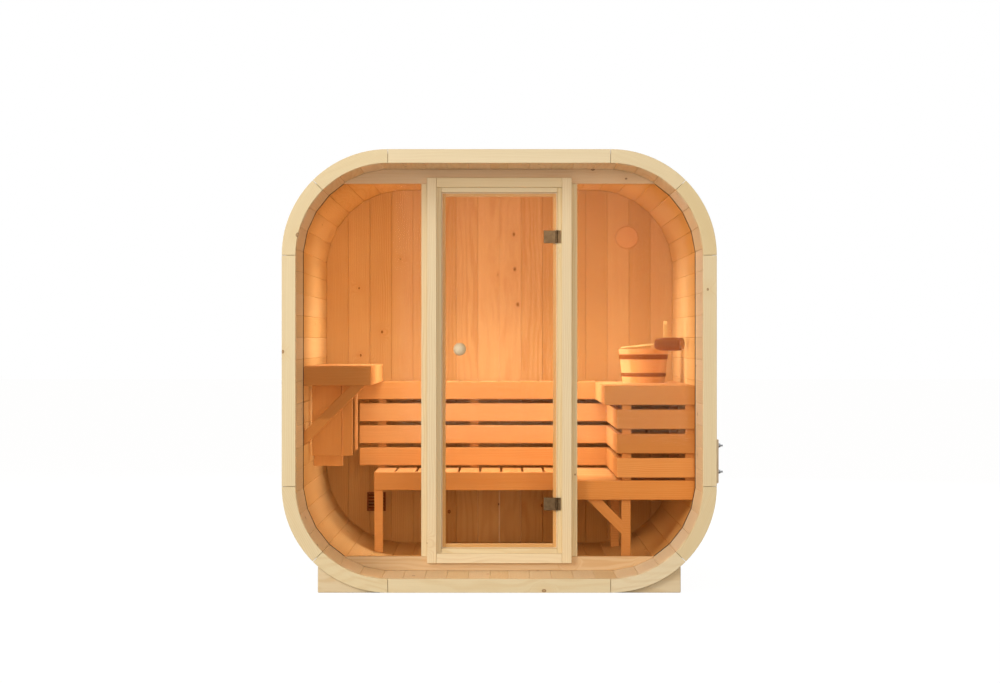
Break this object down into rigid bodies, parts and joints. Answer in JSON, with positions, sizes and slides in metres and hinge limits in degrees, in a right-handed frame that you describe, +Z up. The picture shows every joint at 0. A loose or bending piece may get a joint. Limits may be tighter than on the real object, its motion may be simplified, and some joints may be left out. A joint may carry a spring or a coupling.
{
  "type": "indoor sauna",
  "caption": "Rounded-square stave sauna cabin with a recessed bronze glass front, a hinged glass door, stepped slatted benches, and a bucket with a ladle.",
  "frame": {"origin": "on the ground, under the middle of the cabin, on the underside of the middle cradle", "axes": "+X to the right seen from the front, +Y from the glass front to the back wall, +Z up"},
  "size_m": [2.0921, 2, 2.093],
  "materials": {
    "spruce": "planed, unfinished",
    "cradle_wood": "planed, unfinished",
    "bench_wood": "planed, unfinished",
    "bronze_glass": "clear, bronze tint",
    "band_steel": "satin",
    "hinge_metal": "satin bronze",
    "dark_wood": "heat-darkened"
  },
  "bodies": {
    "cabin": {"floor_staves": "spruce", "ceiling_staves": "spruce", "left_wall_staves": "spruce", "right_wall_staves": "spruce", "lower_left_corner": "spruce", "lower_right_corner": "spruce", "upper_left_corner": "spruce", "upper_right_corner": "spruce", "back_wall": "spruce", "front_trim_boards": "spruce", "front_trim_corners": "spruce", "back_trim_boards": "spruce", "back_trim_corners": "spruce", "cradles": "cradle_wood", "steel_bands": "band_steel", "band_tensioners": "cradle_wood", "tensioner_bolts": "band_steel", "wall_rails": "spruce", "side_panes": "bronze_glass", "door_posts": "spruce", "door_head_and_sill": "spruce", "door_casing": "spruce", "door_stops": "spruce", "post_hinges": "hinge_metal", "back_bench_top": "bench_wood", "back_bench_front": "bench_wood", "back_bench_frame": "bench_wood", "side_bench_top": "bench_wood", "side_bench_front": "bench_wood", "side_bench_side": "bench_wood", "side_bench_frame": "bench_wood", "lower_back_top": "bench_wood", "lower_back_front": "bench_wood", "lower_back_frame": "bench_wood", "lower_side_top": "bench_wood", "lower_side_front": "bench_wood", "lower_side_frame": "bench_wood", "shelf_top": "bench_wood", "shelf_front": "bench_wood", "shelf_frame": "bench_wood", "guard_boards": "bench_wood", "vent_disc": "bench_wood", "louvre_vent": "dark_wood", "bucket": "bench_wood", "bucket_hoops": "dark_wood", "ladle": "dark_wood"},
    "door": {"glass_door": "bronze_glass", "door_hinges": "hinge_metal", "door_knobs": "spruce"}
  },
  "joints": [
    {"name": "door_hinge", "type": "hinge", "parent": "cabin", "child": "door", "pos_m": [0.2805, -0.615, 1.0455], "axis": [0, 0, 1], "range_deg": [0, 100]}
  ]
}
